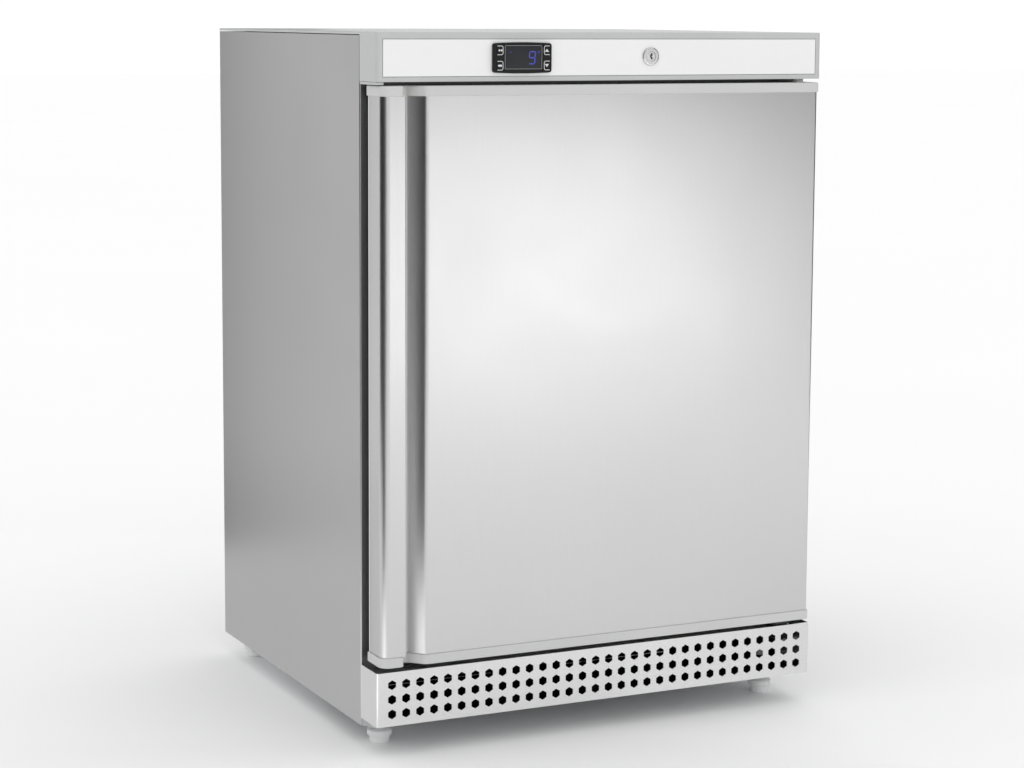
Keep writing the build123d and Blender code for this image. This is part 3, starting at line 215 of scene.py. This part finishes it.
def galvanised(name, colour, painted_shade=None):
    """Zinc coated sheet: dull spangle flakes of slightly different tone; painted shade, near black and not
    metallic, inside the given limits.
    """
    g = Graph(name)
    flakes = g.cells(160.0)
    tone = g.blend(g.range(flakes["Color"], 0, 1, 0.1, 0.9), shade(colour, 0.86), shade(colour, 1.12))
    # Painted shade: near black, not metallic and with little gloss inside the given limits.
    if painted_shade:
        inside = g.within(**painted_shade)
        g.colour(g.blend(inside, tone, PAINTED_SHADE_ZINC))
        g.link(g.range(inside, 0.9, 0.0, 0, 1), g.shader, "Metallic")
        g.link(g.range(inside, 0.5, 0.0, 0, 1), g.shader, "Specular IOR Level")
    else:
        g.colour(tone)
        g.fix(Metallic=0.9)
    g.roughness(g.range(flakes["Color"], 0.38, 0.55, 0.1, 0.9))
    g.normal(g.bump(g.noise(1500, detail=2.0), 0.08, 0.05 * MM))
    return g.material


def bare_metal(name, colour, roughness, stain=0.8, scale=45.0):
    """Plated or drawn metal with patches of dulled surface."""
    g = Graph(name)
    patches = g.noise(scale, detail=5.0, roughness=0.6)
    g.colour(g.blend(g.range(patches, 0, 1), colour, shade(colour, stain)))
    g.fix(Metallic=1.0)
    g.roughness(g.range(patches, roughness - 0.06, roughness + 0.12))
    g.normal(g.bump(g.noise(1800, detail=2.0), 0.05, 0.03 * MM))
    return g.material


def rubber(name, colour, roughness=0.6):
    """Soft extruded or moulded rubber with a dull bloom."""
    g = Graph(name)
    bloom = g.noise(60.0, detail=4.0)
    g.colour(g.blend(g.range(bloom, 0, 1), shade(colour, 0.9), shade(colour, 1.18)))
    g.fix(Specular_IOR_Level=0.35)
    g.roughness(g.range(bloom, roughness - 0.07, roughness + 0.1))
    g.normal(g.bump(g.noise(2200, detail=2.0), 0.12, 0.05 * MM))
    return g.material


def foam(name, colour):
    """Rigid foam: open skin cells."""
    g = Graph(name)
    cell = g.cells(900.0)
    g.colour(g.blend(g.range(cell["Distance"], 0, 1, 0, 0.6), shade(colour, 0.8), shade(colour, 1.08)))
    g.fix(Roughness=0.9)
    g.normal(g.bump(cell["Distance"], 0.5, 0.4 * MM))
    return g.material


def glow(name, colour, strength):
    """Lit display segment, slightly uneven like a light guide."""
    g = Graph(name)
    uneven = g.noise(700.0, detail=2.0)
    lit = g.blend(g.range(uneven, 0, 1), shade(colour, 0.85), colour)
    g.colour(lit)
    g.link(lit, g.shader, "Emission Color")
    g.fix(Emission_Strength=strength, Roughness=0.4)
    return g.material


ZINC = (0.50, 0.52, 0.53)

# The finish of each of the record's material slots.
finishes = {
    "door_steel": brushed("door_steel", (0.65, 0.65, 0.65), 0.31, anisotropic=0.65),
    # Painted shade on the front frame and the side flanges' fronts, in the gap behind the door.
    "side_steel": brushed("side_steel", (0.55, 0.55, 0.55), 0.34, anisotropic=0.6,
                          painted_shade={"x": (0, 0.2984), "y": (-0.3, -0.2425)}),
    "grille_steel": brushed("grille_steel", (0.77, 0.77, 0.77), 0.26, grain=(60, 4200, 4200), variation=0.010,
                            bump=0.005),
    "cover_grey": paint("cover_grey", (0.50, 0.51, 0.51)),
    "fascia_grey": plastic("fascia_grey", (0.49, 0.495, 0.495)),
    "label_white": plastic("label_white", (0.81, 0.81, 0.81), 0.34, grain=1800, bump=0.05, variation=0.01),
    "cap_grey": plastic("cap_grey", (0.55, 0.555, 0.55)),
    "control_black": plastic("control_black", (0.009, 0.009, 0.010), 0.42, variation=0.12, specular=0.22),
    "display_dark": plastic("display_dark", (0.013, 0.014, 0.018), 0.16, grain=500, bump=0.01, variation=0.1,
                            specular=0.35),
    "liner_white": plastic("liner_white", (0.84, 0.85, 0.85), 0.30, grain=1500, bump=0.05, variation=0.003,
                           spread=0.01),
    "foam_yellow": foam("foam_yellow", (0.78, 0.66, 0.38)),
    "gasket_grey": rubber("gasket_grey", (0.30, 0.31, 0.32)),
    "magnet_dark": rubber("magnet_dark", (0.08, 0.08, 0.08), 0.5),
    "galvanised": galvanised("galvanised", ZINC),
    "black_steel": paint("black_steel", (0.022, 0.022, 0.024), 0.34),
    "lock_chrome": bare_metal("lock_chrome", (0.70, 0.70, 0.70), 0.20, 0.9),
    "zinc_hardware": bare_metal("zinc_hardware", (0.66, 0.67, 0.68), 0.32),
    "nylon": plastic("nylon", (0.80, 0.80, 0.76), 0.45),
    "shelf_wire": paint("shelf_wire", (0.80, 0.81, 0.81), 0.35, bump=0.06),
    "evaporator_alu": bare_metal("evaporator_alu", (0.76, 0.77, 0.78), 0.38, 0.88, 30.0),
    "fan_black": plastic("fan_black", (0.03, 0.03, 0.033), 0.45, variation=0.12),
    "copper": bare_metal("copper", (0.72, 0.40, 0.25), 0.32, 0.6),
    "grommet_rubber": rubber("grommet_rubber", (0.03, 0.03, 0.03)),
    "probe_plastic": plastic("probe_plastic", (0.78, 0.78, 0.78)),
    "foot_plastic": plastic("foot_plastic", (0.74, 0.745, 0.745)),
}

# Nodes whose finish differs from their slot's: sheets with painted shade where the air duct is in shade, and
# the lock plug.
own_finishes = {
    "base_pan": galvanised("base_pan_galvanised", ZINC,
                           painted_shade={"x": (0, 0.2965), "y": (-0.3, 0.08), "z": (0.0365, 0.1)}),
    "underbody_sheet": galvanised("underbody_galvanised", ZINC, painted_shade={"y": (-0.3, 0.0595)}),
    "lock_plug": bare_metal("lock_plug_zinc", (0.74, 0.74, 0.74), 0.34, 0.85),
}

for part in frame["record"]["subparts"]:
    node = frame["nodes"][part["node"]]
    node.data.materials.clear()
    node.data.materials.append(own_finishes.get(part["node"], finishes[part["material_slot"]]))


# ---------------------------------------------------------------- printed and lit marks

PRINT_THICK = 0.06 * MM


def rounded(x, z, width, height, radius, steps=5):
    """Corner points of a rounded rectangle in the front plane, in millimetres."""
    points = []
    for quarter, (sx, sz) in enumerate(((1, 1), (-1, 1), (-1, -1), (1, -1))):
        cx = x + sx * (width / 2 - radius)
        cz = z + sz * (height / 2 - radius)
        for i in range(steps + 1):
            angle = math.radians(90 * quarter + 90 * i / steps)
            points.append((cx + radius * math.cos(angle), cz + radius * math.sin(angle)))
    return points


def frame_line(x, z, width, height, radius, line):
    """Outer and inner loop of a line that follows a rounded rectangle."""
    inner = rounded(x, z, width - 2 * line, height - 2 * line, max(radius - line, 0.05))
    return rounded(x, z, width, height, radius), inner


def disc(x, z, radius, steps=20):
    return [(x + radius * math.cos(math.tau * i / steps), z + radius * math.sin(math.tau * i / steps))
            for i in range(steps)]


def stroke(start, end, width):
    """A straight stroke with pointed ends, as a hexagon."""
    (x0, z0), (x1, z1) = start, end
    length = math.hypot(x1 - x0, z1 - z0)
    ux, uz = (x1 - x0) / length, (z1 - z0) / length
    h = width / 2
    return [(x0, z0), (x0 + h * (ux - uz), z0 + h * (uz + ux)), (x1 - h * (ux + uz), z1 - h * (uz - ux)),
            (x1, z1), (x1 - h * (ux - uz), z1 - h * (uz + ux)), (x0 + h * (ux + uz), z0 + h * (uz - ux))]


def printed(name, front, body, material, solid=(), open_lines=(), thick=PRINT_THICK):
    """Thin raised marks that face the front: filled outlines and line loops, given in millimetres."""
    shape = bmesh.new()
    for outline in solid:
        shape.faces.new([shape.verts.new((x * MM, front, z * MM)) for x, z in outline])
    for outer, inner in open_lines:
        ring_out = [shape.verts.new((x * MM, front, z * MM)) for x, z in outer]
        ring_in = [shape.verts.new((x * MM, front, z * MM)) for x, z in inner]
        for i in range(len(outer)):
            j = (i + 1) % len(outer)
            shape.faces.new((ring_out[i], ring_out[j], ring_in[j], ring_in[i]))
    faces = list(shape.faces)
    grown = bmesh.ops.extrude_face_region(shape, geom=faces)
    back = [v for v in grown["geom"] if isinstance(v, bmesh.types.BMVert)]
    bmesh.ops.translate(shape, verts=back, vec=(0, thick, 0))
    bmesh.ops.recalc_face_normals(shape, faces=list(shape.faces))
    mesh = bpy.data.meshes.new(name)
    shape.to_mesh(mesh)
    shape.free()
    mesh.materials.append(material)
    piece = bpy.data.objects.new(name, mesh)
    scene.collection.objects.link(piece)
    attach(piece, body)
    return piece


# Materials of the marks.
print_white = plastic("print_white", (0.62, 0.63, 0.64), 0.5, variation=0.05)
print_grey = plastic("print_grey", (0.30, 0.305, 0.31), 0.5, variation=0.05)
digit_blue = glow("digit_blue", (0.035, 0.040, 0.36), 0.42)
# Painted shade: near-black matt paint for the inside of the keyhole.
keyhole_shade_paint = paint("keyhole_shade_paint", (0.006, 0.006, 0.006), 0.8, specular=0.1)


def seen_from_front(node):
    """A node's middle x and z, its width and its height in millimetres, and its front y in metres."""
    low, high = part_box(node)
    return ((low.x + high.x) / 2 / MM, (low.z + high.z) / 2 / MM, (high.x - low.x) / MM,
            (high.z - low.z) / MM, low.y)


window_x, window_z, window_w, window_h, window_front = seen_from_front("display_window")
bezel_front = seen_from_front("controller_bezel")[4]

DIGIT_W, DIGIT_H, DIGIT_LEAN, SEGMENT = 7.6, 14.2, 0.10, 1.5
SEGMENT_GAP = 0.25


def digit(x, z, segments):
    """Seven-segment figure, leaning a little to the right; segments are named a to g."""
    w, h = DIGIT_W / 2, DIGIT_H / 2
    corners = {"tl": (-w, h), "tr": (w, h), "ml": (-w, 0), "mr": (w, 0), "bl": (-w, -h), "br": (w, -h)}
    placed = {k: (x + px + DIGIT_LEAN * pz, z + pz) for k, (px, pz) in corners.items()}
    runs = {"a": ("tl", "tr"), "b": ("tr", "mr"), "c": ("mr", "br"), "d": ("bl", "br"),
            "e": ("ml", "bl"), "f": ("tl", "ml"), "g": ("ml", "mr")}
    outlines = []
    for key in segments:
        (x0, z0), (x1, z1) = (placed[p] for p in runs[key])
        gap = SEGMENT_GAP / math.hypot(x1 - x0, z1 - z0)
        start = (x0 + (x1 - x0) * gap, z0 + (z1 - z0) * gap)
        end = (x1 - (x1 - x0) * gap, z1 - (z1 - z0) * gap)
        outlines.append(stroke(start, end, SEGMENT))
    return outlines


# The lit marks stand a little in front of the glass, the printed ones a little in front of their face.
LIT_LIFT, PRINT_LIFT = 0.02 * MM, 0.04 * MM
DIGIT_X, DIGIT_Z = 11.4, -0.6
DEGREE_X, LAMP_X, LAMPS_Z = 20.0, -16.5, 6.0
BORDER_OUT, BORDER_RADIUS, BORDER_LINE = 1.6, 1.2, 0.45

glass_front = window_front - LIT_LIFT
printed("display_digit", glass_front, "cabinet", digit_blue,
        solid=digit(window_x + DIGIT_X, window_z + DIGIT_Z, "abcdfg"))
printed("display_degree", glass_front, "cabinet", digit_blue,
        open_lines=[tuple(disc(window_x + DEGREE_X, window_z + LAMPS_Z, radius) for radius in (1.3, 0.8))])
printed("display_lamp", glass_front, "cabinet", digit_blue,
        solid=[disc(window_x + LAMP_X, window_z + LAMPS_Z, 0.7)])
printed("window_border", bezel_front - PRINT_LIFT, "cabinet", print_grey,
        open_lines=[frame_line(window_x, window_z, window_w + BORDER_OUT, window_h + BORDER_OUT,
                               BORDER_RADIUS, BORDER_LINE)])


def bracket(x, z, side, width, height, radius, line):
    """Bracket that is open on one side: side is +1 when its closed side is on the right."""
    outer, inner = [], []
    for half, angles in ((1, range(90, -1, -15)), (-1, range(0, -91, -15))):
        cx, cz = x + side * (width / 2 - radius), z + half * (height / 2 - radius)
        for turn in map(math.radians, angles):
            for points, reach in ((outer, radius), (inner, radius - line)):
                points.append((cx + side * reach * math.cos(turn), cz + reach * math.sin(turn)))
    back = x - side * width / 2
    top, bottom = z + height / 2, z - height / 2
    return [(back, top), *outer, (back, bottom), (back, bottom + line), *reversed(inner), (back, top - line)]


def triangle(x, z, width, height):
    """Arrow head, pointing down where the height is negative."""
    return [(x - width / 2, z - height / 2), (x + width / 2, z - height / 2), (x, z + height / 2)]


KEY_INSET, KEY_RADIUS, KEY_LINE = 1.0, 2.4, 0.75
ARROW_W, ARROW_H = 5.6, 3.6
DOT_RADIUS, DOT_STEPS = 1.25, 14

for key in ("key_set", "key_light", "key_up", "key_down"):
    kx, kz, key_w, key_h, key_front = seen_from_front(key)
    side = 1 if kx < window_x else -1
    outline = bracket(kx, kz, side, key_w - KEY_INSET, key_h - KEY_INSET, KEY_RADIUS, KEY_LINE)
    marks = {"key_up": [triangle(kx, kz, ARROW_W, ARROW_H)],
             "key_down": [triangle(kx, kz, ARROW_W, -ARROW_H)],
             "key_light": [disc(kx + dx, kz, DOT_RADIUS, DOT_STEPS) for dx in (-1.3, 1.6)],
             "key_set": [rounded(kx - 0.4, kz, 5.2, 2.4, 1.0)]}[key]
    for suffix, shapes in (("_outline", [outline]), ("_mark", marks)):
        printed(key + suffix, key_front - PRINT_LIFT, key, print_white, solid=shapes)

# Painted shade in the keyhole: a near-black piece behind the plug's face, in the shape of the keyway around
# the plug's axis, where the wafers sit in shade.
KEYHOLE_SHADE_DEPTH, KEYHOLE_SHADE_THICK = 0.5 * MM, 1.5 * MM
keyway = [(-0.25, 3.8), (1.45, 3.8), (1.45, 1.0), (0.25, 1.0), (0.25, -0.6), (1.45, -0.6), (1.45, -3.4),
          (-0.25, -3.4), (-0.25, -1.3), (-1.45, -1.3), (-1.45, 2.1), (-0.25, 2.1)]
lock_x, lock_z, _, _, plug_front = seen_from_front("lock_plug")
printed("keyhole_painted_shade", plug_front + KEYHOLE_SHADE_DEPTH, "lock", keyhole_shade_paint, thick=KEYHOLE_SHADE_THICK,
        solid=[[(lock_x + x, lock_z + z) for x, z in keyway]])


# ---------------------------------------------------------------- studio

def camera_at(place, yaw, pitch, roll, lens, shift_y):
    """Camera from its place and its yaw, pitch and roll in degrees; yaw 0 looks along +Y, pitch is down."""
    yaw, pitch, roll = map(math.radians, (yaw, pitch, roll))
    forward = Vector((math.sin(yaw) * math.cos(pitch), math.cos(yaw) * math.cos(pitch), -math.sin(pitch)))
    right = forward.cross(Vector((0, 0, 1))).normalized()
    up = right.cross(forward)
    turned_right = right * math.cos(roll) + up * math.sin(roll)
    turned_up = up * math.cos(roll) - right * math.sin(roll)
    data = bpy.data.cameras.new("camera")
    data.lens = lens
    data.sensor_width = 36
    data.shift_y = shift_y
    data.clip_start, data.clip_end = 0.05, 100
    obj = bpy.data.objects.new("camera", data)
    axes = Matrix((turned_right, turned_up, -forward)).transposed()
    obj.matrix_world = Matrix.Translation(place) @ axes.to_4x4()
    scene.collection.objects.link(obj)
    scene.camera = obj


def area_light(name, place, target, width, height, power):
    """Softbox that the camera doesn't see."""
    data = bpy.data.lights.new(name, "AREA")
    data.shape = "RECTANGLE"
    data.size, data.size_y = width, height
    data.energy = power
    obj = bpy.data.objects.new(name, data)
    obj.location = place
    obj.rotation_euler = (Vector(target) - Vector(place)).to_track_quat("-Z", "Y").to_euler()
    obj.visible_camera = False
    scene.collection.objects.link(obj)


def flag(name, corners, level):
    """Studio flag: a plain matt board that only reflections see."""
    mesh = bpy.data.meshes.new(name)
    mesh.from_pydata([Vector(c) for c in corners], [], [(0, 1, 2, 3)])
    obj = bpy.data.objects.new(name, mesh)
    g = Graph(name)
    g.fix(Base_Color=(0, 0, 0, 1), Roughness=1.0, Specular_IOR_Level=0.0,
          Emission_Color=(1, 1, 1, 1), Emission_Strength=level)
    mesh.materials.append(g.material)
    obj.visible_camera = obj.visible_diffuse = obj.visible_shadow = False
    obj.visible_transmission = False
    scene.collection.objects.link(obj)


camera_at((-1.380, -2.894, 0.878), 25.76, 7.09, 0.31, 86.1, -0.0654)

world = bpy.data.worlds.new("studio")
scene.world = world
world.use_nodes = True
world.node_tree.nodes["Background"].inputs["Color"].default_value = (1, 1, 1, 1)
world.node_tree.nodes["Background"].inputs["Strength"].default_value = 1.04
scene.view_settings.view_transform = "Standard"

floor_mesh = bpy.data.meshes.new("floor")
floor_mesh.from_pydata([(-30, -30, 0), (30, -30, 0), (30, 30, 0), (-30, 30, 0)], [], [(0, 1, 2, 3)])
floor = bpy.data.objects.new("floor", floor_mesh)
floor_graph = Graph("floor")
floor_tone = floor_graph.noise(0.8, detail=2.0)
floor_graph.colour(floor_graph.blend(floor_tone, (0.94, 0.94, 0.94), (0.96, 0.96, 0.96)))
floor_graph.fix(Roughness=0.9, Specular_IOR_Level=0.1)
floor_mesh.materials.append(floor_graph.material)
scene.collection.objects.link(floor)

area_light("key", (1.15, -2.9, 0.36), (0.05, -0.3, 0.55), 0.9, 0.6, 3.6)

# Upright boards: two ends on the floor, a height and a level.
for name, (x0, y0), (x1, y1), top, level in (
        ("flag_left", (-2.1, -4.0), (-2.1, 1.0), 6, 0.01),
        ("flag_right", (2.6, -4.2), (2.6, 1.2), 3, 0.02),
        ("flag_front", (0.2, -5.0), (6.0, -5.0), 3, 0.6),
        ("flag_back", (-0.58, 0.9), (0.1, 0.9), 1.8, 0.0)):
    flag(name, ((x0, y0, 0), (x1, y1, 0), (x1, y1, top), (x0, y0, top)), level)

# Boards that lie on the floor: four corners and a level.
CARD_LIFT = MM
for name, corners, level in (
        ("flag_ground", ((-0.8, 0.0), (-0.31, -0.2), (0.0, 0.94), (-1.2, 1.6)), 0.75),
        ("flag_ground_right", ((0.0, -0.32), (1.0, -1.3), (1.6, -0.9), (0.9, -0.32)), 0.85),
        ("flag_ground_far", ((1.6, -2.0), (2.6, -2.0), (2.6, -4.0), (2.0, -4.0)), 0.55),
        ("flag_ground_left", ((-2.1, -1.9), (-1.05, -1.3), (-1.05, -0.4), (-2.1, -0.5)), 0.02),
        ("card_left", ((-1.0, -1.0), (-0.45, -0.55), (-0.45, -0.25), (-1.0, -0.4)), 1.7)):
    flag(name, [(x, y, CARD_LIFT) for x, y in corners], level)
